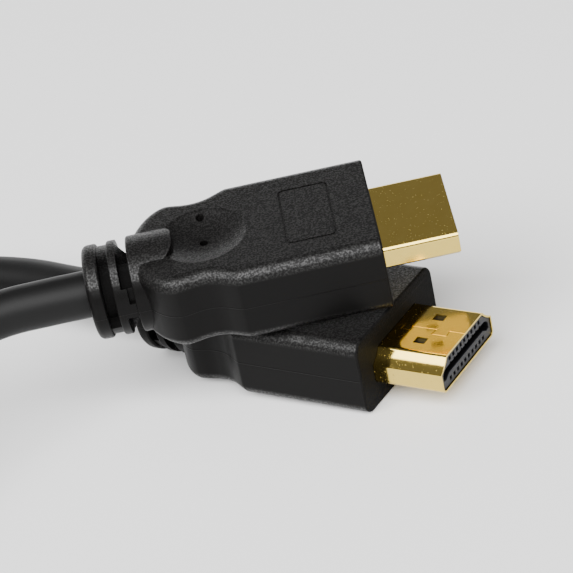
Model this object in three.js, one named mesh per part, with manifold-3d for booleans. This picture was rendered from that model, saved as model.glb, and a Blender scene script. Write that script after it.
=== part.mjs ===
// A digital audio and video cable: two gold plated plugs in black mouldings, one lying on the other,
// and one round cord from plug to plug, coiled on the floor. Millimetres, +Z up, floor at z = 0.
// Plug frame: x runs along the plug to its mouth with 0 at the moulding's front face, y runs across,
// and z points to the wide face of the metal shell.

import * as THREE from 'three';
import { mergeVertices } from 'three/addons/utils/BufferGeometryUtils.js';
import Module from 'manifold-3d';

const wasm = await Module();
wasm.setup();

// Metal shell
const shellWidth = 13.9;
const shellHeight = 4.45;
const shellWall = 0.3;
const shellExposed = 9.46;
const shellInside = 8;
const shellCorner = 0.45;
const shellSideHeight = 2.66;
const shellFootWidth = 9;
const latchWindowBack = 3.95;
const latchWindowLength = 1.55;
const latchWindowWidth = 1.05;
const latchWindowSpacing = 5.25;

// Insulator and contacts
const fitClearance = 0.12;
const insulatorRecess = 0.25;
const insulatorInside = 7.5;
const slotHeight = 0.85;
const slotCentre = -0.12;
const slotEndMargin = 0.35;
const slotEndRise = 0.45;
const slotDepth = 7.2;
const contactPitch = 1;
const contactsOnWideSide = 10;
const contactsOnNarrowSide = 9;
const contactRowHeight = 1.27;
const contactWidth = 0.28;
const contactThickness = 0.3;
const contactClearance = 0.09;
const contactSetback = 0.35;

// Moulding of the plug
const bodyWidth = 20.04;
const bodyHeight = 10.31;
const bodyFillet = 1.65;
const flankLength = 15.5;
const waistBack = 22.4;
const waistWidth = 16.7;
const shoulderBack = 25.8;
const shoulderWidth = 17.72;
const bodyBack = 30.7;
const tailWidth = 5.2;
const pocketBottomGap = 0.3;

// Finger dish, pin marks and the engraved frame on the moulding's faces
const dishBack = 21.4;
const dishRadius = 5.6;
const dishDepth = 1.3;
const pinRadius = 0.55;
const pinDepth = 0.6;
const pinSpacing = 4.45;
const frameBack = 8.1;
const frameLength = 6.4;
const frameWidth = 11.6;
const frameCorner = 0.8;
const grooveWidth = 0.45;
const grooveDepth = 0.15;

// Barrel and strain relief behind the moulding
const barrelRadius = 6.1;
const barrelBack = 31;
const barrelFront = 27;
const barrelNose = 2.7;
const barrelEdge = 0.2;
const reliefRadius = 6;
const reliefEnd = 36.7;
const reliefEndRound = 0.8;
const reliefCore = 4.5;
const bridgeRadius = 5.6;
const recessRadius = 5.2;
const rearSlotBack = 34.8;
const rearSlotWidth = 1.3;
const frontSlotWidth = 1.4;
const recessWidth = 0.7;

// Cord: its diameter, its gap to what it meets, and the ring that the coil fills
const cordDiameter = 6;
const cordGap = 0.3;
const cordSides = 10;
const coilCentre = new THREE.Vector2(-103, 22);
const coilOuterTurn = 38.9;
const coilInnerTurn = 21.5;
const coilLayers = 2;
const coilSlack = 0.2;
const coilEdge = 2;

// How the plugs lie: the lower one face down on the floor, the upper one leaning on it
const lowerHeading = -45;
const lowerPlace = new THREE.Vector2(0.128, -0.128);
const upperHeading = -9.71;
const upperPitch = 1.1;
const upperRoll = 7.62;
const upperPlace = new THREE.Vector2(1.596, 6.491);
const restingGap = 0.3;

// Points of the cord between a plug and the coil, chosen by hand
const upperCordPoints = [
  [-47, 14.6, 17.7],
  [-54, 13.8, 16.7],
  [-60.3, 11, 15.2],
  [-62.6, 9.3, 14.6],
];
const lowerCordPoints = [
  [-36, 37.2, 6.7],
  [-41.3, 43.6, 6.6],
  [-48.3, 49.9, 6.2],
  [-57, 55.2, 5.5],
  [-68, 59.2, 4.5],
  [-80.5, 61.3, 3.7],
];

// Finishes
const mouldingBlack = { color: 0x2a2927, roughness: 0.55, metalness: 0 };
const shellGold = { color: 0xd9b35e, roughness: 0.2, metalness: 1 };
const insulatorBlack = { color: 0x232325, roughness: 0.5, metalness: 0 };
const contactGold = { color: 0xe0bd6a, roughness: 0.25, metalness: 1 };
const cordBlack = { color: 0x1c1c1e, roughness: 0.4, metalness: 0 };

// Closed geometry to a solid, and back to a mesh geometry
function toSolid(geometry) {
  const plain = geometry.clone();
  plain.deleteAttribute('normal');
  plain.deleteAttribute('uv');
  const merged = mergeVertices(plain, 1e-5);
  const vertProperties = new Float32Array(merged.attributes.position.array);
  const triVerts = new Uint32Array(merged.index.array);
  return new wasm.Manifold(new wasm.Mesh({ numProp: 3, vertProperties, triVerts }));
}

function toGeometry(solid) {
  const { vertProperties, triVerts } = solid.getMesh();
  const geometry = new THREE.BufferGeometry();
  geometry.setAttribute('position', new THREE.BufferAttribute(new Float32Array(vertProperties), 3));
  geometry.setIndex(new THREE.BufferAttribute(new Uint32Array(triVerts), 1));
  geometry.computeVertexNormals();
  return geometry;
}

// A shape drawn across the plug (y, z) and extruded from one x to another
const acrossPlug = new THREE.Matrix4().makeBasis(
  new THREE.Vector3(0, 1, 0),
  new THREE.Vector3(0, 0, 1),
  new THREE.Vector3(1, 0, 0),
);

function alongX(shape, from, to, curveSegments = 6) {
  const geometry = new THREE.ExtrudeGeometry(shape, { depth: to - from, bevelEnabled: false, curveSegments });
  geometry.applyMatrix4(acrossPlug);
  geometry.translate(from, 0, 0);
  return toSolid(geometry);
}

function box(from, to) {
  const size = new THREE.Vector3().subVectors(to, from);
  const centre = new THREE.Vector3().addVectors(from, to).multiplyScalar(0.5);
  const geometry = new THREE.BoxGeometry(size.x, size.y, size.z);
  geometry.translate(centre.x, centre.y, centre.z);
  return toSolid(geometry);
}

// A profile of [x, radius] points turned round the plug's axis, from the rear to the front
function turned(profile, segments = 36) {
  const points = profile.map(([x, radius]) => new THREE.Vector2(radius, x));
  const geometry = new THREE.LatheGeometry(points, segments, Math.PI / 2);
  geometry.rotateZ(-Math.PI / 2);
  return toSolid(geometry);
}

// Section of the metal shell, drawn inwards by a margin. The narrow face is at the foot, and the
// shoulders beside it are hollow curves.
function shellSection(margin) {
  const half = shellWidth / 2 - margin;
  const top = shellHeight / 2 - margin;
  const foot = -shellHeight / 2 + margin;
  const shoulder = shellHeight / 2 - shellSideHeight + margin / 3;
  const footHalf = shellFootWidth / 2 - margin / 3;
  const corner = Math.max(shellCorner - margin, 0.05);
  const hip = footHalf + (half - footHalf) * 0.27;
  const section = new THREE.Shape();
  section.moveTo(-half + corner, top);
  section.quadraticCurveTo(-half, top, -half, top - corner);
  section.lineTo(-half, shoulder - 0.1);
  section.quadraticCurveTo(-hip - 0.6, (shoulder + foot) / 2 + 0.25, -hip, foot + 0.25);
  section.quadraticCurveTo(-hip + 0.15, foot, -footHalf, foot);
  section.lineTo(footHalf, foot);
  section.quadraticCurveTo(hip - 0.15, foot, hip, foot + 0.25);
  section.quadraticCurveTo(hip + 0.6, (shoulder + foot) / 2 + 0.25, half, shoulder - 0.1);
  section.lineTo(half, top - corner);
  section.quadraticCurveTo(half, top, half - corner, top);
  return section;
}

function makeShell() {
  const outside = alongX(shellSection(0), -shellInside, shellExposed, 4);
  const bore = alongX(shellSection(shellWall), -shellInside - 1, shellExposed + 1, 4);
  let shell = outside.subtract(bore);
  for (const side of [-1, 1]) {
    const middle = (side * latchWindowSpacing) / 2;
    const window = box(
      new THREE.Vector3(latchWindowBack, middle - latchWindowWidth / 2, -shellHeight),
      new THREE.Vector3(latchWindowBack + latchWindowLength, middle + latchWindowWidth / 2, -shellHeight / 2 + 2 * shellWall),
    );
    shell = shell.subtract(window);
  }
  return toGeometry(shell);
}

// Contact places across the plug: y, and z on the wide or the narrow side
function contactPlaces() {
  const places = [];
  for (const [count, height] of [
    [contactsOnWideSide, contactRowHeight],
    [contactsOnNarrowSide, -contactRowHeight],
  ]) {
    for (let i = 0; i < count; i += 1) {
      places.push({ y: (i - (count - 1) / 2) * contactPitch, z: height });
    }
  }
  return places;
}

function slotSection() {
  const insulatorHalf = shellWidth / 2 - shellWall - fitClearance;
  const half = insulatorHalf - slotEndMargin;
  const low = slotCentre - slotHeight / 2;
  const high = slotCentre + slotHeight / 2;
  const section = new THREE.Shape();
  section.moveTo(-half, low + slotEndRise + 0.2);
  section.lineTo(-half + 0.9, low);
  section.lineTo(half - 0.9, low);
  section.lineTo(half, low + slotEndRise + 0.2);
  section.lineTo(half, high + slotEndRise);
  section.lineTo(half - 0.6, high + slotEndRise);
  section.lineTo(half - 1.6, high);
  section.lineTo(-half + 1.6, high);
  section.lineTo(-half + 0.6, high + slotEndRise);
  section.lineTo(-half, high + slotEndRise);
  return section;
}

function makeInsulator() {
  const front = shellExposed - insulatorRecess;
  let insulator = alongX(shellSection(shellWall + fitClearance), -insulatorInside, front, 4);
  insulator = insulator.subtract(alongX(slotSection(), front - slotDepth, front + 1));
  const halfWidth = contactWidth / 2 + contactClearance;
  const halfHeight = contactThickness / 2 + contactClearance;
  for (const { y, z } of contactPlaces()) {
    const channel = box(
      new THREE.Vector3(-insulatorInside - 1, y - halfWidth, z - halfHeight),
      new THREE.Vector3(front + 1, y + halfWidth, z + halfHeight),
    );
    insulator = insulator.subtract(channel);
  }
  return toGeometry(insulator);
}

function makeContact() {
  const front = shellExposed - insulatorRecess - contactSetback;
  const back = -insulatorInside + contactSetback;
  const contact = new THREE.BoxGeometry(front - back, contactWidth, contactThickness);
  contact.translate((front + back) / 2, 0, 0);
  return contact;
}

// Moulding seen from above: straight flanks, a waist beside the dish, round shoulders and a tail.
// It starts ahead of the front face, which is cut square afterwards.
function bodyOutline() {
  const half = bodyWidth / 2;
  const waist = waistWidth / 2;
  const shoulder = shoulderWidth / 2;
  const tail = tailWidth / 2;
  const outline = new THREE.Shape();
  const ahead = 2 * bodyFillet;
  outline.moveTo(ahead, -half);
  outline.lineTo(ahead, half);
  outline.lineTo(-flankLength, half);
  outline.bezierCurveTo(-flankLength - 3.1, half, -waistBack + 2.8, waist, -waistBack, waist);
  outline.bezierCurveTo(-waistBack - 1.4, waist, -shoulderBack + 1.5, shoulder, -shoulderBack, shoulder);
  outline.bezierCurveTo(-shoulderBack - 2.5, shoulder, -bodyBack + 0.8, tail + 2.9, -bodyBack, tail);
  outline.lineTo(-bodyBack, -tail);
  outline.bezierCurveTo(-bodyBack + 0.8, -tail - 2.9, -shoulderBack - 2.5, -shoulder, -shoulderBack, -shoulder);
  outline.bezierCurveTo(-shoulderBack + 1.5, -shoulder, -waistBack - 1.4, -waist, -waistBack, -waist);
  outline.bezierCurveTo(-waistBack + 2.8, -waist, -flankLength - 3.1, -half, -flankLength, -half);
  return outline;
}

function makeBody() {
  const straight = bodyHeight - 2 * bodyFillet;
  const geometry = new THREE.ExtrudeGeometry(bodyOutline(), {
    depth: straight,
    curveSegments: 7,
    bevelEnabled: true,
    bevelSegments: 4,
    bevelSize: bodyFillet,
    bevelOffset: -bodyFillet,
    bevelThickness: bodyFillet,
  });
  geometry.translate(0, 0, -straight / 2);
  const frontCut = box(
    new THREE.Vector3(0, -bodyWidth, -bodyHeight),
    new THREE.Vector3(bodyWidth, bodyWidth, bodyHeight),
  );
  return toSolid(geometry).subtract(frontCut);
}

// Shallow bowl for a finger, cut from the face at the given side, and two pin marks
function dishCutter(side) {
  const sphereRadius = (dishRadius ** 2 + dishDepth ** 2) / (2 * dishDepth);
  const profile = [];
  const steps = 6;
  const reach = Math.asin(dishRadius / sphereRadius);
  for (let i = 0; i <= steps; i += 1) {
    const angle = (reach * i) / steps;
    profile.push(new THREE.Vector2(sphereRadius * Math.sin(angle), sphereRadius * (1 - Math.cos(angle)) - dishDepth));
  }
  profile[0].x = 0;
  profile.push(new THREE.Vector2(dishRadius, dishDepth), new THREE.Vector2(0, dishDepth));
  const bowl = new THREE.LatheGeometry(profile, 36);
  bowl.rotateX((side * Math.PI) / 2);
  bowl.translate(-dishBack, 0, (side * bodyHeight) / 2);
  let cutter = toSolid(bowl);
  for (const y of [0, pinSpacing]) {
    const pin = new THREE.CylinderGeometry(pinRadius, pinRadius, 2 * (dishDepth + pinDepth), 12);
    pin.rotateX(Math.PI / 2);
    pin.translate(-dishBack, y, (side * bodyHeight) / 2);
    cutter = cutter.add(toSolid(pin));
  }
  return cutter;
}

function roundedRectangle(length, width, corner) {
  const x = length / 2;
  const y = width / 2;
  const shape = new THREE.Shape();
  shape.moveTo(-x + corner, -y);
  shape.lineTo(x - corner, -y);
  shape.absarc(x - corner, -y + corner, corner, -Math.PI / 2, 0);
  shape.lineTo(x, y - corner);
  shape.absarc(x - corner, y - corner, corner, 0, Math.PI / 2);
  shape.lineTo(-x + corner, y);
  shape.absarc(-x + corner, y - corner, corner, Math.PI / 2, Math.PI);
  shape.lineTo(-x, -y + corner);
  shape.absarc(-x + corner, -y + corner, corner, Math.PI, 1.5 * Math.PI);
  return shape;
}

// Plain engraved frame on the wide side
function frameCutter() {
  const outer = roundedRectangle(frameLength, frameWidth, frameCorner);
  const inner = roundedRectangle(frameLength - 2 * grooveWidth, frameWidth - 2 * grooveWidth, frameCorner / 2);
  outer.holes.push(inner);
  const groove = new THREE.ExtrudeGeometry(outer, { depth: 2 * grooveDepth, bevelEnabled: false, curveSegments: 3 });
  groove.translate(-frameBack, 0, bodyHeight / 2 - grooveDepth);
  return toSolid(groove);
}

// Barrel with a domed nose, and the strain relief behind it as one turned piece
function makeBarrelAndRelief() {
  const profile = [[-reliefEnd, 0]];
  const steps = 4;
  for (let i = 0; i <= steps; i += 1) {
    const angle = (Math.PI / 2) * (i / steps);
    profile.push([
      -reliefEnd + reliefEndRound * (1 - Math.cos(angle)),
      reliefRadius - reliefEndRound * (1 - Math.sin(angle)),
    ]);
  }
  profile.push([-barrelBack, reliefRadius], [-barrelBack + barrelEdge, barrelRadius]);
  const noseSteps = 7;
  for (let i = 0; i < noseSteps; i += 1) {
    const angle = (Math.PI / 2) * (i / noseSteps);
    profile.push([-barrelFront + barrelNose * Math.sin(angle), barrelRadius * Math.cos(angle)]);
  }
  profile.push([-barrelFront + barrelNose, 0]);
  return turned(profile);
}

// Part of a ring between two radii and two angles in degrees, from +y towards +z
function ringPart(inner, outer, fromAngle, toAngle, back, width) {
  const start = THREE.MathUtils.degToRad(fromAngle);
  const end = THREE.MathUtils.degToRad(toAngle);
  const part = new THREE.Shape();
  part.absarc(0, 0, outer, start, end, false);
  part.absarc(0, 0, inner, end, start, true);
  return alongX(part, -back, -back + width, Math.max(3, Math.ceil((toAngle - fromAngle) / 12)));
}

// Openings of the strain relief: two wide windows in the rear row, four deep ones and two shallow
// recesses in the front row. What is left between them are the bridges.
function reliefCutters() {
  const beyond = reliefRadius + 1;
  const frontSlotBack = barrelBack + frontSlotWidth;
  const cutters = [];
  for (const turn of [0, 180]) {
    cutters.push(ringPart(bridgeRadius, beyond, turn + 10, turn + 110, rearSlotBack, rearSlotWidth));
    cutters.push(ringPart(reliefCore, beyond, turn + 94, turn + 205, rearSlotBack, rearSlotWidth));
    cutters.push(ringPart(reliefCore, beyond, turn + 7, turn + 79, frontSlotBack, frontSlotWidth));
    cutters.push(ringPart(reliefCore, beyond, turn + 101, turn + 148, frontSlotBack, frontSlotWidth));
    cutters.push(ringPart(recessRadius, beyond, turn + 146, turn + 168, barrelBack + recessWidth, recessWidth));
  }
  return cutters;
}

function makeMoulding() {
  let moulding = makeBody();
  moulding = moulding.subtract(dishCutter(1)).subtract(dishCutter(-1)).subtract(frameCutter());
  moulding = moulding.add(makeBarrelAndRelief());
  const pocket = alongX(shellSection(-fitClearance), -shellInside - pocketBottomGap, 1, 4);
  moulding = moulding.subtract(pocket);
  for (const cutter of reliefCutters()) {
    moulding = moulding.subtract(cutter);
  }
  return toGeometry(moulding);
}

function addPiece(group, name, geometry, finish) {
  const mesh = new THREE.Mesh(geometry, new THREE.MeshStandardMaterial(finish));
  mesh.name = name;
  group.add(mesh);
  return mesh;
}

// Both plugs come from one mould, so they share their geometries
const mouldingGeometry = makeMoulding();
const shellGeometry = makeShell();
const insulatorGeometry = makeInsulator();
const contactGeometry = makeContact();

function makePlug(prefix) {
  const plug = new THREE.Group();
  addPiece(plug, `${prefix}_moulding`, mouldingGeometry, mouldingBlack);
  addPiece(plug, `${prefix}_shell`, shellGeometry, shellGold);
  addPiece(plug, `${prefix}_insulator`, insulatorGeometry, insulatorBlack);
  contactPlaces().forEach(({ y, z }, index) => {
    const number = String(index + 1).padStart(2, '0');
    const contact = addPiece(plug, `${prefix}_contact_${number}`, contactGeometry, contactGold);
    contact.position.set(0, y, z);
  });
  return plug;
}

// The lower plug rests on its front edge and on the fore end of the barrel, which is a little fatter
// than the moulding, so its nose points down by a small angle. Its wide side is underneath.
function placeLowerPlug(plug) {
  const noseDown = Math.atan((barrelRadius - bodyHeight / 2) / barrelFront);
  plug.rotation.set(Math.PI, noseDown, THREE.MathUtils.degToRad(lowerHeading), 'ZYX');
  plug.position.set(lowerPlace.x, lowerPlace.y, (bodyHeight / 2) * Math.cos(noseDown));
}

// The upper plug is let down until its lowest point over the lower moulding is a gap above that face
function placeUpperPlug(plug, lower) {
  const [roll, pitch, heading] = [upperRoll, upperPitch, upperHeading].map(THREE.MathUtils.degToRad);
  plug.rotation.set(roll, pitch, heading, 'ZYX');
  plug.position.set(upperPlace.x, upperPlace.y, 2 * bodyHeight);
  plug.updateMatrixWorld(true);
  lower.updateMatrixWorld(true);
  const corners = mouldingGeometry.attributes.position;
  const corner = new THREE.Vector3();
  let least = Infinity;
  for (let i = 0; i < corners.count; i += 1) {
    lower.worldToLocal(plug.localToWorld(corner.fromBufferAttribute(corners, i)));
    const over = Math.abs(corner.y) < bodyWidth / 2 && corner.x < 0 && corner.x > -bodyBack;
    if (over) {
      least = Math.min(least, -corner.z - bodyHeight / 2);
    }
  }
  plug.position.z -= (least - restingGap) / Math.cos(lower.rotation.y);
}

// The stretch of cord that leaves a plug: straight along the plug's axis, then through chosen points
function cordFrom(plug, points) {
  plug.updateMatrixWorld(true);
  const onAxis = (back) => plug.localToWorld(new THREE.Vector3(-back, 0, 0));
  const start = reliefEnd + cordGap;
  const route = [onAxis(start), onAxis(start + 4.5), ...points.map(([x, y, z]) => new THREE.Vector3(x, y, z))];
  const curve = new THREE.CatmullRomCurve3(route, false, 'centripetal');
  const section = new THREE.Shape().absarc(0, 0, cordDiameter / 2, 0, 2 * Math.PI);
  const steps = Math.ceil(curve.getLength() / (2 * cordDiameter));
  return new THREE.ExtrudeGeometry(section, {
    steps,
    curveSegments: cordSides,
    bevelEnabled: false,
    extrudePath: curve,
  });
}

// Outer shape of the coil: a ring with soft edges that lies on the floor
function makeCoil() {
  const outer = coilOuterTurn + cordDiameter / 2 + coilSlack;
  const inner = coilInnerTurn - cordDiameter / 2 - coilSlack;
  const height = coilLayers * (cordDiameter + coilSlack);
  const profile = [
    [inner + coilEdge, 0],
    [outer - coilEdge, 0],
    [outer, coilEdge],
    [outer, height - coilEdge],
    [outer - coilEdge, height],
    [inner + coilEdge, height],
    [inner, height - coilEdge],
    [inner, coilEdge],
    [inner + coilEdge, 0],
  ].map(([radius, z]) => new THREE.Vector2(radius, z));
  const ring = new THREE.LatheGeometry(profile, 40);
  ring.rotateX(Math.PI / 2);
  return ring;
}

const lowerPlug = makePlug('lower_plug');
placeLowerPlug(lowerPlug);
const upperPlug = makePlug('upper_plug');
placeUpperPlug(upperPlug, lowerPlug);

const plugs = new THREE.Group();
plugs.add(lowerPlug, upperPlug);

const cable = new THREE.Group();
cable.add(plugs);
addPiece(cable, 'cord_upper_end', cordFrom(upperPlug, upperCordPoints), cordBlack);
addPiece(cable, 'cord_lower_end', cordFrom(lowerPlug, lowerCordPoints), cordBlack);
const coil = addPiece(cable, 'cord_coil', makeCoil(), cordBlack);
coil.position.set(coilCentre.x, coilCentre.y, 0);

// The origin is on the floor under the middle of the two plugs
cable.updateMatrixWorld(true);
const plugBounds = new THREE.Box3().setFromObject(plugs, true);
const middle = plugBounds.getCenter(new THREE.Vector3());
cable.position.set(-middle.x, -middle.y, 0);

export default cable;
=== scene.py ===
"""The look of a coiled audio and video cable with a gold plated plug at each end.

Plugs are modelled in millimetres in the plug's own frame: x runs along the plug to its mouth and is 0 at the
moulding's front face, y runs across, and z points to the wide face of the metal shell. They are then placed
in the row frame, in metres.
"""

import math

import bmesh
import bpy
from mathutils import Matrix, Vector
from mathutils.geometry import interpolate_bezier


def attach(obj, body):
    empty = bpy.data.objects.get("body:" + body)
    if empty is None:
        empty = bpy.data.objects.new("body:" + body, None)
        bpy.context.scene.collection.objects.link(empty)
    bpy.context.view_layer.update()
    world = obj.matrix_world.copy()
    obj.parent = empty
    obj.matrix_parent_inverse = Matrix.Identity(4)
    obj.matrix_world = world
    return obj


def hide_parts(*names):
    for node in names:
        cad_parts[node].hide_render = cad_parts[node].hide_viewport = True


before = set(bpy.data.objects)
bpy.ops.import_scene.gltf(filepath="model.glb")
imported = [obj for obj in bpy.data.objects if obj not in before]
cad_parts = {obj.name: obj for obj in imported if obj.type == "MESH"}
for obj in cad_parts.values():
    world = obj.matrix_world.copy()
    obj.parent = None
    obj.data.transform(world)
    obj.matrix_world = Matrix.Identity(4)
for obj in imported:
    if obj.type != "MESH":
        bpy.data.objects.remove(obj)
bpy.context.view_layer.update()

# Metres in a millimetre
MM = 0.001

# Small lengths in millimetres: points this near are welded, and places this near count as one
WELD = 2e-5
AXIS_WELD = 1e-5
TINY = 1e-4
NEAR = 1e-3

# How far a cutter reaches past what it cuts, in millimetres: where it must stay close, and elsewhere
CLEAR_CUT = 0.02
OVERSHOOT = 1.0

# Camera: its place in millimetres and its turns in degrees
IMAGE_PIXELS = 573
FOCAL_PIXELS = 2321.5
CAMERA_PLACE = (-33.735, -254.386, 153.993)
CAMERA_HEADING = 7.733
CAMERA_DROP = 28.920
CAMERA_ROLL = 14.070

# Lights: name, place, target and size in metres, then watts
LIGHTS = [
    ("front_softbox", (-0.45, -0.70, 0.95), (0.0, 0.0, 0.0), (2.2, 1.05), 64.0),
    ("back_strip", (0.0, 0.85, 0.2), (0.0, 0.0, 0.02), (1.8, 0.36), 5.0),
]
SKY_STRENGTH = 0.26
FLOOR_REACH = 3.0
FLOOR_SHADE = (0.9, 0.9, 0.9, 1.0)
FLOOR_ROUGHNESS = 0.7

# Base colours that each finish mixes
MOULDING_TONES = ((0.0034, 0.0032, 0.0031), (0.0105, 0.0100, 0.0096))
GOLD_TONES = ((0.64, 0.465, 0.10), (0.70, 0.52, 0.135))
# The insulator's darker tone is painted shade for its slot and channels, the lighter its front face
INSULATOR_TONES = ((0.003, 0.003, 0.0034), (0.021, 0.0215, 0.0245))
CONTACT_TONES = ((0.60, 0.38, 0.09), (0.80, 0.54, 0.16))
CORD_TONES = ((0.0036, 0.0036, 0.0036), (0.006, 0.006, 0.006))

# Material patterns on the plugs, as repeats a millimetre, and where the moulding's patterns change; inside
# the radius at the relief's slots the moulding gets painted shade
GRAIN_SCALE = 4.2
FINE_SCALE = 9.0
CLOUD_SCALE = 0.7
PIT_SCALE = 4.5
BRUSH_SCALE = (0.5, 9.0, 9.0)
# Radius inside which the relief's slots get painted shade
PAINTED_SHADE_RADIUS = 4.9
FRONT_DEPTH = 0.25
SPARK_SHARE = 0.85
PARTING_HALF = 0.06

# How the plugs lie: front face centre in millimetres, then heading, pitch and roll in degrees
PLUG_PLACES = {
    "lower_plug": ((11.805, -9.117, 5.152), -45.0, 2.0036, 180.0),
    "upper_plug": ((13.273, -2.498, 17.055), -9.71, 1.1, 7.62),
}

# Metal shell, in millimetres as all sizes below
SHELL_WIDTH = 13.9
SHELL_HEIGHT = 4.45
SHELL_WALL = 0.25
SHELL_EXPOSED = 9.46
SHELL_INSIDE = 8.0
SHELL_CORNER = 0.75
SHELL_SIDE_HEIGHT = 2.66
SHELL_SIDE_DROP = 0.1
SHELL_FOOT_WIDTH = 9.0
HIP_SHARE = 0.27
HIP_HEIGHT = 0.25
HIP_BENDS = (0.6, 0.15)
SHELL_RIM = 0.1
WINDOW_BACK = 3.95
WINDOW_LENGTH = 1.55
WINDOW_WIDTH = 1.3
WINDOW_SPACING = 5.25
SEAM_WIDTH = 0.12
SEAM_DEPTH = 0.06
SEAM_OVERSHOOT = 0.2
SECTION_STEPS = 8

# Middle line of the seam in the narrow face, along and across the plug, from the mouth to the moulding
SEAM_ROUTE = [
    (SHELL_EXPOSED + 0.5, -0.1), (7.4, -0.1), (7.5, 1.0), (5.4, 1.0), (5.55, -0.1),
    (2.3, -0.1), (2.4, 0.75), (1.0, 0.75), (1.1, -0.1), (-0.6, -0.1),
]

# Insulator and its holes
FIT_CLEARANCE = 0.06
INSULATOR_RECESS = 0.18
INSULATOR_INSIDE = 7.5
SLOT_LOW = -0.6
SLOT_HIGH = 0.4
SLOT_HALF = 6.18
SLOT_DEPTH = 7.2
CONTACT_PITCH = 1.0
CONTACT_ROW = 1.27
HOLE_WIDTH = 0.54
HOLE_HEIGHT = 0.56
NOTCH_WIDTH = 0.34
NOTCH_DEPTH = 0.17

# One end of the slot in the insulator, across the plug and up to the wide face
SLOT_SIDE = [
    (SLOT_HALF - 0.95, SLOT_LOW), (SLOT_HALF - 0.35, SLOT_LOW + 0.2), (SLOT_HALF, SLOT_LOW + 0.65),
    (SLOT_HALF + 0.08, SLOT_HIGH + 0.4), (SLOT_HALF - 0.6, SLOT_HIGH + 0.5), (SLOT_HALF - 1.5, SLOT_HIGH),
]

# Moulding of the plug
BODY_WIDTH = 20.04
BODY_HEIGHT = 10.31
BODY_FILLET = 1.65
BODY_RIM = 0.32
FLANK_LENGTH = 17.9
WAIST_BACK = 22.4
WAIST_WIDTH = 16.7
SHOULDER_BACK = 25.8
SHOULDER_WIDTH = 17.72
BODY_BACK = 30.7
TAIL_WIDTH = 5.2
POCKET_GAP = 0.05
POCKET_END_GAP = 0.3
DISH_BACK = 21.4
DISH_RADIUS = 5.6
DISH_DEPTH = 1.3
PIN_RADIUS = 0.55
PIN_DEPTH = 1.1
PIN_SPACING = 4.45
FRAME_BACK = 8.1
FRAME_LENGTH = 6.4
FRAME_WIDTH = 11.6
FRAME_CORNER = 0.8
FRAME_CORNER_STEPS = 6
OUTLINE_STEPS = 12
GROOVE_WIDTH = 0.28
GROOVE_DEPTH = 0.15

# Barrel and strain relief
BARREL_RADIUS = 6.1
BARREL_BACK = 31.0
BARREL_FRONT = 25.2
TONGUE_BACK = 27.3
TONGUE_HALF = 3.7
TONGUE_CORNER = 2.9
BARREL_ROUND = 0.25
BARREL_END_ROUND = 0.1
RELIEF_RADIUS = 6.0
RELIEF_END = 36.7
RELIEF_END_ROUND = 0.8
RELIEF_CORE = 4.0
BRIDGE_RADIUS = 5.6
RECESS_RADIUS = 5.2
REAR_SLOT_BACK = 34.8
REAR_SLOT_WIDTH = 1.3
FRONT_SLOT_WIDTH = 1.4
RECESS_WIDTH = 0.7
RING_ROUND = 0.3
CORD_HOLE_DEPTH = 1.6
CORD_HOLE_GAP = 0.12

# Slots cut in each half turn of the relief: inner radius, from and to degrees, back and width
RELIEF_SLOTS = [
    (RELIEF_CORE, 94.0, 205.0, REAR_SLOT_BACK, REAR_SLOT_WIDTH),
    (RELIEF_CORE, 7.0, 79.0, BARREL_BACK + FRONT_SLOT_WIDTH, FRONT_SLOT_WIDTH),
    (RELIEF_CORE, 101.0, 148.0, BARREL_BACK + FRONT_SLOT_WIDTH, FRONT_SLOT_WIDTH),
    (RECESS_RADIUS, 146.0, 168.0, BARREL_BACK + RECESS_WIDTH, RECESS_WIDTH),
]
WEDGE_FROM = 77.0
WEDGE_TO = 103.0

# Cord and its coil, with sweeps in degrees
CORD_DIAMETER = 6.0
CORD_TUCK = 0.9
UPPER_LEAD = (1.8, 4.8)
LOWER_LEAD = (7.3, 3.0)
COIL_CENTRE = (-91.323, 13.011)
COIL_OUTER_TURN = 38.9
COIL_PITCH = 6.2
COIL_ENTRY = -30.0
TOP_SWEEP = 960.0
DROP_SWEEP = 120.0
LOW_SWEEP = 955.0
ENTRY_HEIGHT = 13.2
ENTRY_SWEEP = 70.0
TOP_HEIGHT = 9.3
LOW_HEIGHT = 3.05
DROP_DIP = 0.9
COIL_STEP = 12.0
UPPER_CORD_POINTS = [
    (-35.323, 5.611, 17.70),
    (-42.323, 4.811, 16.70),
    (-48.623, 2.011, 15.30),
    (-53.923, -2.189, 14.10),
]
LOWER_CORD_POINTS = [
    (-81.823, 52.311, 3.20),
    (-68.823, 52.211, 3.70),
    (-56.323, 50.211, 4.50),
    (-45.323, 46.211, 5.50),
    (-36.623, 40.911, 6.20),
    (-29.623, 34.611, 6.60),
    (-24.323, 28.211, 6.70),
]


def plug_matrix(place, heading, pitch, roll):
    """From the plug's own frame in millimetres to the row frame in metres."""
    turn = (
        Matrix.Rotation(math.radians(heading), 4, "Z")
        @ Matrix.Rotation(math.radians(pitch), 4, "Y")
        @ Matrix.Rotation(math.radians(roll), 4, "X")
    )
    return Matrix.Scale(MM, 4) @ Matrix.Translation(place) @ turn


PLUGS = {name: plug_matrix(*lie) for name, lie in PLUG_PLACES.items()}


# Camera and lights

def make_camera():
    """The photograph's camera."""
    data = bpy.data.cameras.new("camera")
    data.sensor_width = 36.0
    data.lens = FOCAL_PIXELS / IMAGE_PIXELS * data.sensor_width
    data.clip_start = 0.01
    camera = bpy.data.objects.new("camera", data)
    bpy.context.scene.collection.objects.link(camera)
    turn = (
        Matrix.Rotation(math.radians(-CAMERA_HEADING), 4, "Z")
        @ Matrix.Rotation(math.radians(90.0 - CAMERA_DROP), 4, "X")
        @ Matrix.Rotation(math.radians(-CAMERA_ROLL), 4, "Z")
    )
    camera.matrix_world = Matrix.Translation(Vector(CAMERA_PLACE) * MM) @ turn
    bpy.context.scene.camera = camera


make_camera()


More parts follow.
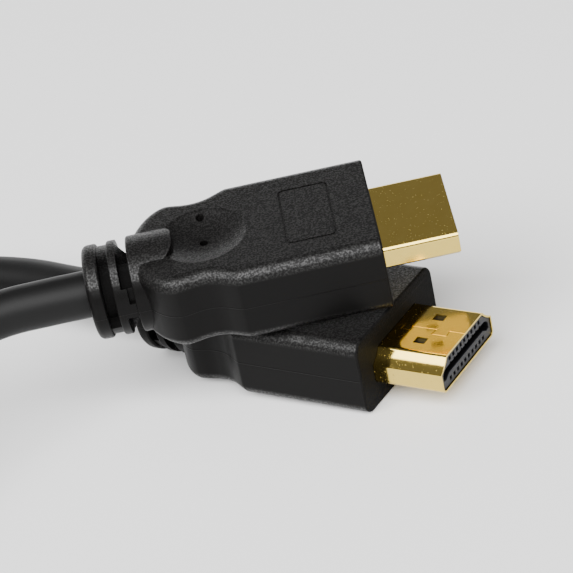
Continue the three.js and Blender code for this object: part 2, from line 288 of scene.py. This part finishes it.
def area_light(name, place, target, size, power):
    data = bpy.data.lights.new(name, "AREA")
    data.shape = "RECTANGLE"
    data.size, data.size_y = size
    data.energy = power
    light = bpy.data.objects.new(name, data)
    bpy.context.scene.collection.objects.link(light)
    aim = (Vector(target) - Vector(place)).to_track_quat("-Z", "Y")
    light.matrix_world = Matrix.Translation(place) @ aim.to_matrix().to_4x4()


def make_studio():
    """A large soft light in front, a low strip behind, and a plain sky."""
    for light in LIGHTS:
        area_light(*light)
    world = bpy.data.worlds.new("studio")
    world.use_nodes = True
    background = world.node_tree.nodes["Background"]
    background.inputs["Color"].default_value = (1.0, 1.0, 1.0, 1.0)
    background.inputs["Strength"].default_value = SKY_STRENGTH
    bpy.context.scene.world = world


make_studio()


# Shader sums and materials

class Value:
    """One output of a node, with Python's signs for sums on it."""

    def __init__(self, finish, socket):
        self.finish = finish
        self.socket = socket

    def sum_with(self, operation, first, second):
        return self.finish.node("ShaderNodeMath", {"operation": operation}, {0: first, 1: second})

    def __add__(self, other):
        return self.sum_with("ADD", self, other)

    def __radd__(self, other):
        return self.sum_with("ADD", other, self)

    def __sub__(self, other):
        return self.sum_with("SUBTRACT", self, other)

    def __rsub__(self, other):
        return self.sum_with("SUBTRACT", other, self)

    def __mul__(self, other):
        return self.sum_with("MULTIPLY", self, other)

    def __abs__(self):
        return self.sum_with("ABSOLUTE", self, 0.0)

    def above(self, edge, softness):
        """0 below the edge and 1 above it, with a soft change between."""
        settings = {"interpolation_type": "SMOOTHSTEP"}
        sockets = {"Value": self, "From Min": edge - softness, "From Max": edge + softness}
        return self.finish.node("ShaderNodeMapRange", settings, sockets)


class Finish:
    """A material with one Principled shader, and a short way to add nodes to it."""

    def __init__(self, name, **constants):
        self.material = bpy.data.materials.new(name)
        self.material.use_nodes = True
        self.tree = self.material.node_tree
        self.shader = self.tree.nodes["Principled BSDF"]
        for socket, value in constants.items():
            self.set(socket.replace("_", " ").title().replace("Ior", "IOR"), value)

    def set(self, socket, value):
        if isinstance(value, Value):
            self.tree.links.new(value.socket, self.shader.inputs[socket])
        else:
            self.shader.inputs[socket].default_value = value

    def node(self, kind, settings=None, sockets=None, output=0):
        made = self.tree.nodes.new(kind)
        for name, value in (settings or {}).items():
            setattr(made, name, value)
        for name, value in (sockets or {}).items():
            if isinstance(value, Value):
                self.tree.links.new(value.socket, made.inputs[name])
            else:
                made.inputs[name].default_value = value
        return Value(self, made.outputs[output])

    def place(self):
        """The plug's own coordinates in millimetres, kept on the mesh."""
        return self.node("ShaderNodeAttribute", {"attribute_name": "place"}, output="Vector")

    def part_of(self, vector, axis):
        return self.node("ShaderNodeSeparateXYZ", None, {0: vector}, output=axis)

    def noise(self, vector, scale, detail, roughness):
        sockets = {"Vector": vector, "Scale": scale, "Detail": detail, "Roughness": roughness}
        return self.node("ShaderNodeTexNoise", None, sockets, output="Fac")

    def mix(self, share, first, second):
        """Share 0 gives the first colour and 1 the second."""
        sockets = {"Fac": share, "Color1": (*first, 1.0), "Color2": (*second, 1.0)}
        return self.node("ShaderNodeMixRGB", None, sockets)

    def bump(self, height, distance):
        """A normal from a height, with the distance in metres."""
        return self.node("ShaderNodeBump", None, {"Height": height, "Distance": distance})


def moulding_finish():
    """Black moulded plastic: sparked on the wide faces, fillets and front, smoother on the flanks, with
    painted shade inside the strain relief's slots.
    """
    finish = Finish("moulding_black", specular_ior_level=0.075, coat_roughness=0.36)
    place = finish.place()
    height = abs(finish.part_of(place, "Z"))
    along = finish.part_of(place, "X")
    out = finish.node("ShaderNodeVectorMath", {"operation": "MULTIPLY"}, {0: place, 1: (0.0, 1.0, 1.0)})
    radius = finish.node("ShaderNodeVectorMath", {"operation": "LENGTH"}, {0: out}, output="Value")
    # Painted shade: inside the relief's slots the base colour goes to the darkest tone, standing for the
    # shade there, and the surface is made rougher
    painted_slot_shade = (1.0 - radius.above(PAINTED_SHADE_RADIUS, 0.25)) * (1.0 - along.above(-BARREL_BACK, 0.1))
    front = along.above(-FRONT_DEPTH, 0.1)
    sparked = height.above(BODY_HEIGHT / 2 - BODY_FILLET * SPARK_SHARE, 0.3)
    either = finish.node("ShaderNodeMath", {"operation": "MAXIMUM"}, {0: sparked, 1: front * 0.5})
    grain = finish.noise(place, GRAIN_SCALE, 2.0, 0.6)
    fine = finish.noise(place, FINE_SCALE, 2.0, 0.5)
    speck = grain.above(0.53, 0.12)
    lit = speck * either
    finish.set("Base Color", finish.mix(lit * 0.7 - painted_slot_shade, *MOULDING_TONES))
    finish.set("Roughness", 0.36 + either * 0.12 + front * 0.25 + painted_slot_shade * 0.4)
    finish.set("Coat Weight", sparked * (0.12 + speck * 0.5) * (1.0 - front))
    parting = (1.0 - height.above(PARTING_HALF, 0.04)) * (1.0 - either)
    finish.set("Normal", finish.bump(grain * either + fine * 0.05 + parting * 0.25, 0.0001))
    return finish.material


def gold_finish():
    """Polished gold plating with light handling marks."""
    finish = Finish("shell_gold", metallic=1.0)
    place = finish.place()
    cloud = finish.noise(place, CLOUD_SCALE, 4.0, 0.55)
    pits = finish.noise(place, PIT_SCALE, 1.0, 0.5).above(0.74, 0.02)
    brushed = finish.node("ShaderNodeMapping", None, {"Vector": place, "Scale": BRUSH_SCALE})
    streak = finish.noise(brushed, 1.0, 2.0, 0.5)
    finish.set("Base Color", finish.mix(cloud, *GOLD_TONES))
    finish.set("Roughness", 0.07 + cloud * 0.08 + pits * 0.3)
    finish.set("Normal", finish.bump(streak * 0.4 + pits * 3.0, 0.000003))
    return finish.material


def insulator_finish():
    """Grey black glass-filled plastic, grey on its front face, with painted shade in near black behind it in
    the slot and the contact channels.
    """
    finish = Finish("insulator_black", specular_ior_level=0.25)
    place = finish.place()
    speck = finish.noise(place, FINE_SCALE, 3.0, 0.6)
    # Painted shade: behind the front face the insulator takes the near black tone, standing for the shade
    # inside its slot and contact channels
    face = finish.part_of(place, "X").above(SHELL_EXPOSED - INSULATOR_RECESS - 0.12, 0.08)
    finish.set("Base Color", finish.mix(face * (speck * 0.5 + 0.5), *INSULATOR_TONES))
    finish.set("Roughness", 0.35 + speck * 0.2)
    finish.set("Normal", finish.bump(speck, 0.00001))
    return finish.material


def contact_finish():
    """Gold plated contact, seen far down in its channel."""
    finish = Finish("contact_gold", metallic=1.0)
    spot = finish.node("ShaderNodeTexCoord", output="Object")
    cloud = finish.noise(spot, 900.0, 2.0, 0.5)
    finish.set("Base Color", finish.mix(cloud, *CONTACT_TONES))
    finish.set("Roughness", 0.25 + cloud * 0.15)
    return finish.material


def cord_finish():
    """Smooth satin jacket with the faint unevenness of extruded plastic."""
    finish = Finish("cord_black", specular_ior_level=0.15)
    spot = finish.node("ShaderNodeTexCoord", output="Object")
    cloud = finish.noise(spot, 160.0, 2.0, 0.5)
    fine = finish.noise(spot, 2500.0, 2.0, 0.5)
    finish.set("Base Color", finish.mix(cloud, *CORD_TONES))
    finish.set("Roughness", 0.44 + cloud * 0.08)
    finish.set("Normal", finish.bump(fine, 0.00001))
    return finish.material


# Mesh helpers

def mesh_object(name, made):
    mesh = bpy.data.meshes.new(name)
    made.to_mesh(mesh)
    made.free()
    thing = bpy.data.objects.new(name, mesh)
    bpy.context.scene.collection.objects.link(thing)
    return thing


def prism(outline, along):
    """A solid: a closed outline of points, drawn out by a vector."""
    made = bmesh.new()
    face = made.faces.new([made.verts.new(point) for point in outline])
    drawn = bmesh.ops.extrude_face_region(made, geom=[face])
    moved = [part for part in drawn["geom"] if isinstance(part, bmesh.types.BMVert)]
    bmesh.ops.translate(made, verts=moved, vec=along)
    bmesh.ops.recalc_face_normals(made, faces=made.faces)
    return made


def block(low, high):
    """A box between two corners."""
    made = bmesh.new()
    size = Vector(high) - Vector(low)
    centre = (Vector(high) + Vector(low)) / 2
    bmesh.ops.create_cube(made, size=1.0, matrix=Matrix.Translation(centre) @ Matrix.Diagonal((*size, 1.0)))
    return made


def turned_part(profile, from_angle, to_angle, steps):
    """A closed profile of (x, radius) points spun round the plug's axis between two angles in degrees."""
    made = bmesh.new()
    start = math.radians(from_angle)
    cosine = math.cos(start)
    sine = math.sin(start)
    face = made.faces.new([made.verts.new((x, radius * cosine, radius * sine)) for x, radius in profile])
    geometry = [face, *face.edges, *face.verts]
    sweep = math.radians(to_angle - from_angle)
    bmesh.ops.spin(made, geom=geometry, axis=(1, 0, 0), cent=(0, 0, 0), angle=sweep, steps=steps)
    bmesh.ops.recalc_face_normals(made, faces=made.faces)
    return made


def turned_whole(profile, steps):
    """An open profile of (x, radius) points, from axis to axis, spun right round."""
    made = bmesh.new()
    corners = [made.verts.new((x, radius, 0.0)) for x, radius in profile]
    edges = [made.edges.new(pair) for pair in zip(corners, corners[1:])]
    geometry = [*edges, *corners]
    bmesh.ops.spin(
        made, geom=geometry, axis=(1, 0, 0), cent=(0, 0, 0), angle=math.tau, steps=steps, use_merge=True
    )
    bmesh.ops.remove_doubles(made, verts=made.verts, dist=AXIS_WELD)
    bmesh.ops.recalc_face_normals(made, faces=made.faces)
    return made


def bake_modifiers(thing):
    """The mesh with its modifiers applied."""
    shape = bpy.data.meshes.new_from_object(thing.evaluated_get(bpy.context.evaluated_depsgraph_get()))
    thing.modifiers.clear()
    thing.data = shape
    return thing


def cut(thing, made, operation="DIFFERENCE"):
    """Cuts a bmesh solid away from a thing, joins it on or keeps what both fill."""
    tool = mesh_object("tool", made)
    modifier = thing.modifiers.new("cut", "BOOLEAN")
    modifier.operation = operation
    modifier.solver = "EXACT"
    modifier.object = tool
    bake_modifiers(thing)
    bpy.data.objects.remove(tool)
    made = bmesh.new()
    made.from_mesh(thing.data)
    bmesh.ops.remove_doubles(made, verts=made.verts, dist=WELD)
    bmesh.ops.dissolve_degenerate(made, edges=made.edges, dist=WELD)
    made.to_mesh(thing.data)
    made.free()


def taken_mesh(thing):
    """A thing's mesh as a bmesh solid, with the thing itself deleted."""
    made = bmesh.new()
    made.from_mesh(thing.data)
    bpy.data.objects.remove(thing)
    return made


def soften(thing, chosen, width):
    """Rounds the edges that a test picks."""
    made = bmesh.new()
    made.from_mesh(thing.data)
    bmesh.ops.remove_doubles(made, verts=made.verts, dist=TINY)
    edges = [edge for edge in made.edges if edge.is_manifold and chosen(edge)]
    bmesh.ops.bevel(
        made, geom=edges, offset=width, segments=2, affect="EDGES", profile=0.5, material=-1,
        clamp_overlap=True,
    )
    made.to_mesh(thing.data)
    made.free()


def smooth(thing, angle=30.0):
    """Smooth shading that keeps edges sharper than the angle, with flats staying flat."""
    thing.data.shade_smooth()
    thing.data.set_sharp_from_angle(angle=math.radians(angle))
    weighted = thing.modifiers.new("flat_faces", "WEIGHTED_NORMAL")
    weighted.keep_sharp = True
    weighted.weight = 100
    return bake_modifiers(thing)


def keep_place(thing):
    """Stores the plug's own coordinates on the mesh, for the materials."""
    mesh = thing.data
    layer = mesh.attributes.new("place", "FLOAT_VECTOR", "POINT")
    for point, spot in zip(layer.data, mesh.vertices):
        point.vector = spot.co


def put(thing, name, matrix, material, node):
    """Puts a copy of a finished shape in its place, standing for a CAD node."""
    mesh = thing.data.copy()
    mesh.transform(matrix)
    mesh.materials.clear()
    mesh.materials.append(material)
    piece = bpy.data.objects.new(name, mesh)
    bpy.context.scene.collection.objects.link(piece)
    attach(piece, "root")
    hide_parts(node)


# Cord

def coil_points():
    """Centre line of the coil: in on the top layer, down at the inner turn, and out on the floor."""
    sweep = TOP_SWEEP + DROP_SWEEP + LOW_SWEEP
    steps = round(sweep / COIL_STEP)
    inner = COIL_OUTER_TURN - COIL_PITCH * TOP_SWEEP / 360.0
    points = []
    for step in range(steps + 1):
        gone = sweep * step / steps
        if gone <= TOP_SWEEP:
            radius = COIL_OUTER_TURN - COIL_PITCH * gone / 360.0
            left = max(0.0, 1.0 - gone / ENTRY_SWEEP)
            height = TOP_HEIGHT + (ENTRY_HEIGHT - TOP_HEIGHT) * left * left
        elif gone <= TOP_SWEEP + DROP_SWEEP:
            share = (gone - TOP_SWEEP) / DROP_SWEEP
            radius = inner - DROP_DIP * math.sin(math.pi * share)
            height = TOP_HEIGHT + (LOW_HEIGHT - TOP_HEIGHT) * share * share * (3.0 - 2.0 * share)
        else:
            radius = inner + COIL_PITCH * (gone - TOP_SWEEP - DROP_SWEEP) / 360.0
            height = LOW_HEIGHT
        angle = math.radians(COIL_ENTRY - gone)
        across = COIL_CENTRE[0] + radius * math.cos(angle)
        away = COIL_CENTRE[1] + radius * math.sin(angle)
        points.append((across, away, height))
    return points


def on_axis(plug, back):
    """A point on a plug's axis behind its front face, in the row frame's millimetres."""
    return tuple(PLUGS[plug] @ Vector((-back, 0.0, 0.0)) / MM)


def make_cord():
    """The cord from the upper plug through the coil to the lower plug."""
    leave = [on_axis("upper_plug", RELIEF_END + back) for back in (-CORD_TUCK, *UPPER_LEAD)]
    arrive = [on_axis("lower_plug", RELIEF_END + back) for back in (*LOWER_LEAD, -CORD_TUCK)]
    route = [*leave, *UPPER_CORD_POINTS, *coil_points(), *LOWER_CORD_POINTS, *arrive]
    data = bpy.data.curves.new("cord", "CURVE")
    data.dimensions = "3D"
    data.bevel_depth = CORD_DIAMETER / 2 * MM
    data.bevel_resolution = 7
    data.resolution_u = 6
    data.use_fill_caps = True
    line = data.splines.new("BEZIER")
    line.bezier_points.add(len(route) - 1)
    for point, spot in zip(line.bezier_points, route):
        point.co = Vector(spot) * MM
        point.handle_left_type = "AUTO"
        point.handle_right_type = "AUTO"
    cord = bpy.data.objects.new("cord", data)
    bpy.context.scene.collection.objects.link(cord)
    data.materials.append(cord_finish())
    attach(cord, "root")
    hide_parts("cord_upper_end", "cord_lower_end", "cord_coil")
    [value * MM for value in on_axis("upper_plug", RELIEF_END)]


make_cord()


# Moulding

def body_outline():
    """The moulding seen from above: straight flanks, a waist, round shoulders and a tail."""
    half = BODY_WIDTH / 2
    waist = WAIST_WIDTH / 2
    shoulder = SHOULDER_WIDTH / 2
    tail = TAIL_WIDTH / 2
    flank = (-FLANK_LENGTH, half)
    wing = (-SHOULDER_BACK, shoulder)
    # Each curve is its start, two handles and its end
    curves = [
        (flank, (-FLANK_LENGTH - 1.7, half - 0.65), (-WAIST_BACK + 2.1, waist), (-WAIST_BACK, waist)),
        ((-WAIST_BACK, waist), (-WAIST_BACK - 1.4, waist), (-SHOULDER_BACK + 1.5, shoulder), wing),
        (wing, (-SHOULDER_BACK - 2.0, shoulder - 0.35), (-BODY_BACK + 0.7, tail + 3.2), (-BODY_BACK, tail)),
    ]
    side = [Vector((0.0, half))]
    for curve in curves:
        knots = [Vector((x, y, 0.0)) for x, y in curve]
        side += [point.to_2d() for point in interpolate_bezier(*knots, OUTLINE_STEPS)]
    tidy = [side[0]] + [b for a, b in zip(side, side[1:]) if (b - a).length > TINY]
    mirrored = [Vector((point.x, -point.y)) for point in reversed(tidy)]
    return [(point.x, point.y, -BODY_HEIGHT / 2) for point in tidy + mirrored]


def make_body():
    """The moulding's block, with round long edges and a finer round at its front."""
    made = prism(body_outline(), (0.0, 0.0, BODY_HEIGHT))
    flat = BODY_HEIGHT / 2 - NEAR
    long_edges = [
        edge for edge in made.edges
        if all(abs(corner.co.z) > flat for corner in edge.verts)
        and abs(edge.verts[0].co.z - edge.verts[1].co.z) < NEAR
        and any(corner.co.x < -NEAR for corner in edge.verts)
    ]
    bmesh.ops.bevel(
        made, geom=long_edges, offset=BODY_FILLET, offset_type="OFFSET", segments=10, affect="EDGES",
        profile=0.5, material=-1, clamp_overlap=False,
    )
    bmesh.ops.remove_doubles(made, verts=made.verts, dist=TINY)
    rim = [edge for edge in made.edges if all(abs(corner.co.x) < TINY for corner in edge.verts)]
    bmesh.ops.bevel(
        made, geom=rim, offset=BODY_RIM, offset_type="OFFSET", segments=3, affect="EDGES", profile=0.5,
        material=-1, clamp_overlap=True,
    )
    return mesh_object("body", made)


def dish_ball(side):
    """The ball that hollows the finger dish in one face."""
    radius = (DISH_RADIUS ** 2 + DISH_DEPTH ** 2) / (2 * DISH_DEPTH)
    centre = (-DISH_BACK, 0.0, side * (BODY_HEIGHT / 2 - DISH_DEPTH + radius))
    made = bmesh.new()
    upright = Matrix.Translation(centre) @ Matrix.Rotation(math.radians(90.0), 4, "X")
    bmesh.ops.create_uvsphere(made, u_segments=128, v_segments=96, radius=radius, matrix=upright)
    return made


def pin_hole(side, place):
    """One of the two round marks in the dish."""
    made = bmesh.new()
    centre = (-DISH_BACK, place, side * BODY_HEIGHT / 2)
    bmesh.ops.create_cone(
        made, cap_ends=True, segments=32, radius1=PIN_RADIUS, radius2=PIN_RADIUS,
        depth=2 * (DISH_DEPTH + PIN_DEPTH), matrix=Matrix.Translation(centre),
    )
    return made


def rounded_rectangle(length, width, corner, height):
    """Outline of a rectangle with round corners at the frame's place."""
    points = []
    for sign_x, sign_y, start in ((1, -1, -90), (1, 1, 0), (-1, 1, 90), (-1, -1, 180)):
        middle_x = -FRAME_BACK + sign_x * (length / 2 - corner)
        middle_y = sign_y * (width / 2 - corner)
        for step in range(FRAME_CORNER_STEPS + 1):
            angle = math.radians(start + 90.0 * step / FRAME_CORNER_STEPS)
            points.append((middle_x + corner * math.cos(angle), middle_y + corner * math.sin(angle), height))
    return points


def frame_groove():
    """A plain engraved frame on the wide side."""
    low = BODY_HEIGHT / 2 - GROOVE_DEPTH
    inner_length = FRAME_LENGTH - 2 * GROOVE_WIDTH
    inner_width = FRAME_WIDTH - 2 * GROOVE_WIDTH
    outside = rounded_rectangle(FRAME_LENGTH, FRAME_WIDTH, FRAME_CORNER, low)
    inside = rounded_rectangle(inner_length, inner_width, FRAME_CORNER - GROOVE_WIDTH, low - OVERSHOOT)
    groove = mesh_object("groove", prism(outside, (0.0, 0.0, OVERSHOOT)))
    cut(groove, prism(inside, (0.0, 0.0, 3 * OVERSHOOT)))
    return taken_mesh(groove)


def arc(centre_x, centre_radius, size, from_angle, to_angle, steps):
    """Points (x, radius) of a round corner in a turned profile."""
    points = []
    for step in range(steps + 1):
        angle = math.radians(from_angle + (to_angle - from_angle) * step / steps)
        points.append((centre_x + size * math.cos(angle), centre_radius + size * math.sin(angle)))
    return points


def tongue():
    """Upright walls that end the barrel in a round nosed tongue, seen from above."""
    wide = BARREL_RADIUS + OVERSHOOT
    centre = (-BARREL_FRONT - TONGUE_CORNER, TONGUE_HALF - TONGUE_CORNER)
    side = [(-RELIEF_END - OVERSHOOT, wide), (-TONGUE_BACK, wide), (-TONGUE_BACK, TONGUE_HALF)]
    side += arc(centre[0], centre[1], TONGUE_CORNER, 90, 0, 8)
    outline = side + [(x, -y) for x, y in reversed(side)]
    return prism([(x, y, -wide) for x, y in outline], (0.0, 0.0, 2 * wide))


def barrel_and_relief():
    """The barrel and the strain relief as one turned solid, its fore end cut to the tongue."""
    rear = -RELIEF_END
    ring_front = -REAR_SLOT_BACK
    second_back = ring_front + REAR_SLOT_WIDTH
    profile = [(rear, 0.0)]
    profile += arc(rear + RELIEF_END_ROUND, RELIEF_RADIUS - RELIEF_END_ROUND, RELIEF_END_ROUND, 180, 90, 8)
    profile += arc(ring_front - RING_ROUND, RELIEF_RADIUS - RING_ROUND, RING_ROUND, 90, 0, 4)
    profile += [(ring_front, BRIDGE_RADIUS), (second_back, BRIDGE_RADIUS)]
    profile += arc(second_back + RING_ROUND, RELIEF_RADIUS - RING_ROUND, RING_ROUND, 180, 90, 4)
    profile += [(-BARREL_BACK, RELIEF_RADIUS - 0.05)]
    profile += arc(-BARREL_BACK + BARREL_ROUND, BARREL_RADIUS - BARREL_ROUND, BARREL_ROUND, 180, 90, 4)
    profile += [(-BARREL_FRONT + OVERSHOOT, BARREL_RADIUS), (-BARREL_FRONT + OVERSHOOT, 0.0)]
    barrel = mesh_object("barrel", turned_whole(profile, 128))
    cut(barrel, tongue(), "INTERSECT")

    def end_edge(edge):
        """The edge where the barrel's skin meets its upright end wall."""
        ahead = all(corner.co.x > -TONGUE_BACK + 0.01 for corner in edge.verts)
        return ahead and edge.calc_face_angle(0.0) > math.radians(50)

    soften(barrel, end_edge, BARREL_END_ROUND)
    return taken_mesh(barrel)


def ring_cutter(core, from_angle, to_angle, back, width):
    """A slot part of the way round, with flat walls and a round floor."""
    outer = RELIEF_RADIUS + OVERSHOOT
    rear = -back - CLEAR_CUT
    fore = -back + width + CLEAR_CUT
    profile = [(rear, core), (fore, core), (fore, outer), (rear, outer)]
    return turned_part(profile, from_angle, to_angle, max(4, round((to_angle - from_angle) / 4)))


def wedge_cutter(turn):
    """A slot beside the barrel whose floor slopes, so that its rear end runs out on the skin."""
    outer = RELIEF_RADIUS + OVERSHOOT
    back = -BARREL_BACK - FRONT_SLOT_WIDTH
    fore = -BARREL_BACK + CLEAR_CUT / 2
    profile = [(back, RELIEF_RADIUS + 0.03), (fore, RELIEF_CORE + 0.1), (fore, outer), (back, outer)]
    return turned_part(profile, turn + WEDGE_FROM, turn + WEDGE_TO, 6)


def relief_cutters():
    """All the slots of the strain relief, in the order in which they are cut."""
    cutters = []
    for turn in (0.0, 180.0):
        for core, from_angle, to_angle, back, width in RELIEF_SLOTS:
            cutters.append(ring_cutter(core, turn + from_angle, turn + to_angle, back, width))
        cutters.append(wedge_cutter(turn))
    return cutters


def cord_hole():
    """The mouth at the relief's end that the cord comes out of."""
    radius = CORD_DIAMETER / 2 + CORD_HOLE_GAP
    rear = -RELIEF_END - OVERSHOOT
    fore = -RELIEF_END + CORD_HOLE_DEPTH
    return turned_whole([(rear, 0.0), (rear, radius), (fore, radius), (fore, 0.0)], 64)


def across(points, x):
    """A section's points (y, z) at one place along the plug."""
    return [(x, y, z) for y, z in points]


def shell_outline(margin):
    """Section of the shell (y, z), drawn inwards by a margin, with hollow shoulders by the narrow face."""
    half = SHELL_WIDTH / 2 - margin
    top = SHELL_HEIGHT / 2 - margin
    foot = -SHELL_HEIGHT / 2 + margin
    shoulder = SHELL_HEIGHT / 2 - SHELL_SIDE_HEIGHT + margin / 3 - SHELL_SIDE_DROP
    foot_half = SHELL_FOOT_WIDTH / 2 - margin / 3
    corner = max(SHELL_CORNER - margin, 0.05)
    hip = foot_half + (half - foot_half) * HIP_SHARE
    hip_height = foot + HIP_HEIGHT
    waist = (shoulder + foot) / 2 + HIP_HEIGHT
    right = []
    for step in range(SECTION_STEPS + 1):
        angle = math.pi / 2 * step / SECTION_STEPS
        right.append((half - corner + corner * math.sin(angle), top - corner + corner * math.cos(angle)))
    curves = [
        ((half, shoulder), (hip + HIP_BENDS[0], waist), (hip, hip_height)),
        ((hip, hip_height), (hip - HIP_BENDS[1], foot), (foot_half, foot)),
    ]
    for start, bend, end in curves:
        for step in range(SECTION_STEPS + 1):
            share = step / SECTION_STEPS
            weights = ((1 - share) ** 2, 2 * share * (1 - share), share ** 2)
            y = sum(weight * point[0] for weight, point in zip(weights, (start, bend, end)))
            z = sum(weight * point[1] for weight, point in zip(weights, (start, bend, end)))
            if math.dist(right[-1], (y, z)) > TINY:
                right.append((y, z))
    left = [(-y, z) for y, z in reversed(right)]
    return right + left


def make_moulding():
    """The black grip with its dishes, engraved frame, barrel, strain relief and the shell's pocket."""
    moulding = make_body()
    for side in (1, -1):
        cut(moulding, dish_ball(side))
    cut(moulding, frame_groove())
    cut(moulding, barrel_and_relief(), "UNION")
    for side in (1, -1):
        for place in (0.0, PIN_SPACING):
            cut(moulding, pin_hole(side, place))
    for cutter in relief_cutters():
        cut(moulding, cutter)
    cut(moulding, cord_hole())
    pocket_end = -SHELL_INSIDE - POCKET_END_GAP
    pocket = prism(across(shell_outline(-POCKET_GAP), pocket_end), (OVERSHOOT - pocket_end, 0.0, 0.0))
    cut(moulding, pocket)
    keep_place(moulding)
    return smooth(moulding)


# Shell, insulator and contacts

def seam_cutter():
    """The seam of the folded shell: a thin groove in its narrow face with two dovetails."""
    last = len(SEAM_ROUTE) - 1
    left = []
    right = []
    for index, spot in enumerate(SEAM_ROUTE):
        before = Vector(SEAM_ROUTE[max(index - 1, 0)])
        here = Vector(spot)
        after = Vector(SEAM_ROUTE[min(index + 1, last)])
        first = (here - before).normalized() if index else (after - here).normalized()
        second = (after - here).normalized() if index < last else first
        mean = (first + second).normalized()
        normal = Vector((-mean.y, mean.x))
        reach = SEAM_WIDTH / 2 / max(0.35, normal.dot(Vector((-first.y, first.x))))
        left.append(here + normal * reach)
        right.append(here - normal * reach)
    outline = left + right[::-1]
    foot = -SHELL_HEIGHT / 2
    corners = [(point.x, point.y, foot - SEAM_OVERSHOOT) for point in outline]
    return prism(corners, (0.0, 0.0, SEAM_OVERSHOOT + SEAM_DEPTH))


def make_shell():
    """The folded metal shell, open at both ends, with two latch windows and a seam."""
    length = SHELL_EXPOSED + SHELL_INSIDE
    outside = prism(across(shell_outline(0.0), -SHELL_INSIDE), (length, 0.0, 0.0))
    shell = mesh_object("shell", outside)
    bore_back = -SHELL_INSIDE - OVERSHOOT
    bore = prism(across(shell_outline(SHELL_WALL), bore_back), (length + 2 * OVERSHOOT, 0.0, 0.0))
    cut(shell, bore)
    foot = -SHELL_HEIGHT / 2
    for side in (-1, 1):
        middle = side * WINDOW_SPACING / 2
        low = (WINDOW_BACK, middle - WINDOW_WIDTH / 2, foot - OVERSHOOT)
        high = (WINDOW_BACK + WINDOW_LENGTH, middle + WINDOW_WIDTH / 2, foot + SHELL_WALL * 1.5)
        cut(shell, block(low, high))
    cut(shell, seam_cutter())

    def rim_edge(edge):
        """Edges of the mouth."""
        mouth = all(abs(corner.co.x - SHELL_EXPOSED) < NEAR for corner in edge.verts)
        return mouth and edge.calc_face_angle(0.0) > math.radians(60)

    soften(shell, rim_edge, SHELL_RIM)
    keep_place(shell)
    return smooth(shell, 25.0)


def slot_outline():
    """Section of the insulator's slot, with its ends flared towards the wide face."""
    return SLOT_SIDE + [(-y, z) for y, z in reversed(SLOT_SIDE)]


def contact_places():
    """Places across the plug: ten on the wide side, then nine on the narrow side."""
    places = []
    for count, height in ((10, CONTACT_ROW), (9, -CONTACT_ROW)):
        places += [((index - (count - 1) / 2) * CONTACT_PITCH, height) for index in range(count)]
    return places


def make_insulator():
    """The mouth's filling: a slot, a channel for each contact, and a comb of notches on the narrow side."""
    front = SHELL_EXPOSED - INSULATOR_RECESS
    length = front + INSULATOR_INSIDE
    body = prism(across(shell_outline(SHELL_WALL + FIT_CLEARANCE), -INSULATOR_INSIDE), (length, 0.0, 0.0))
    insulator = mesh_object("insulator", body)
    cut(insulator, prism(across(slot_outline(), front - SLOT_DEPTH), (SLOT_DEPTH + OVERSHOOT, 0.0, 0.0)))
    for y, z in contact_places():
        low = (-INSULATOR_INSIDE - OVERSHOOT, y - HOLE_WIDTH / 2, z - HOLE_HEIGHT / 2)
        high = (front + OVERSHOOT, y + HOLE_WIDTH / 2, z + HOLE_HEIGHT / 2)
        cut(insulator, block(low, high))
        if z < 0.0:
            low = (front - SLOT_DEPTH, y - NOTCH_WIDTH / 2, SLOT_LOW - NOTCH_DEPTH)
            high = (front + OVERSHOOT, y + NOTCH_WIDTH / 2, SLOT_LOW + 0.1)
            cut(insulator, block(low, high))
    keep_place(insulator)
    return smooth(insulator)


def dress_plugs():
    """Shapes one plug and puts a copy of it at both places, then gives the contacts their finish."""
    shapes = {
        "moulding": (make_moulding(), moulding_finish(), "moulding_black"),
        "shell": (make_shell(), gold_finish(), "shell_gold"),
        "insulator": (make_insulator(), insulator_finish(), "insulator_black"),
    }
    contact_gold = contact_finish()
    for plug, matrix in PLUGS.items():
        for part, (shape, material, slot) in shapes.items():
            put(shape, f"{plug}_{part}_finished", matrix, material, f"{plug}_{part}")
        for name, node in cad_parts.items():
            if name.startswith(f"{plug}_contact"):
                node.data.materials.clear()
                node.data.materials.append(contact_gold)
    for shape, _, _ in shapes.values():
        bpy.data.objects.remove(shape)


dress_plugs()


# Floor

def make_floor():
    """A plain light floor, which isn't part of the object."""
    made = bmesh.new()
    bmesh.ops.create_grid(made, x_segments=1, y_segments=1, size=FLOOR_REACH)
    floor = mesh_object("floor", made)
    finish = Finish("floor_white", roughness=FLOOR_ROUGHNESS)
    finish.set("Base Color", FLOOR_SHADE)
    floor.data.materials.append(finish.material)


make_floor()
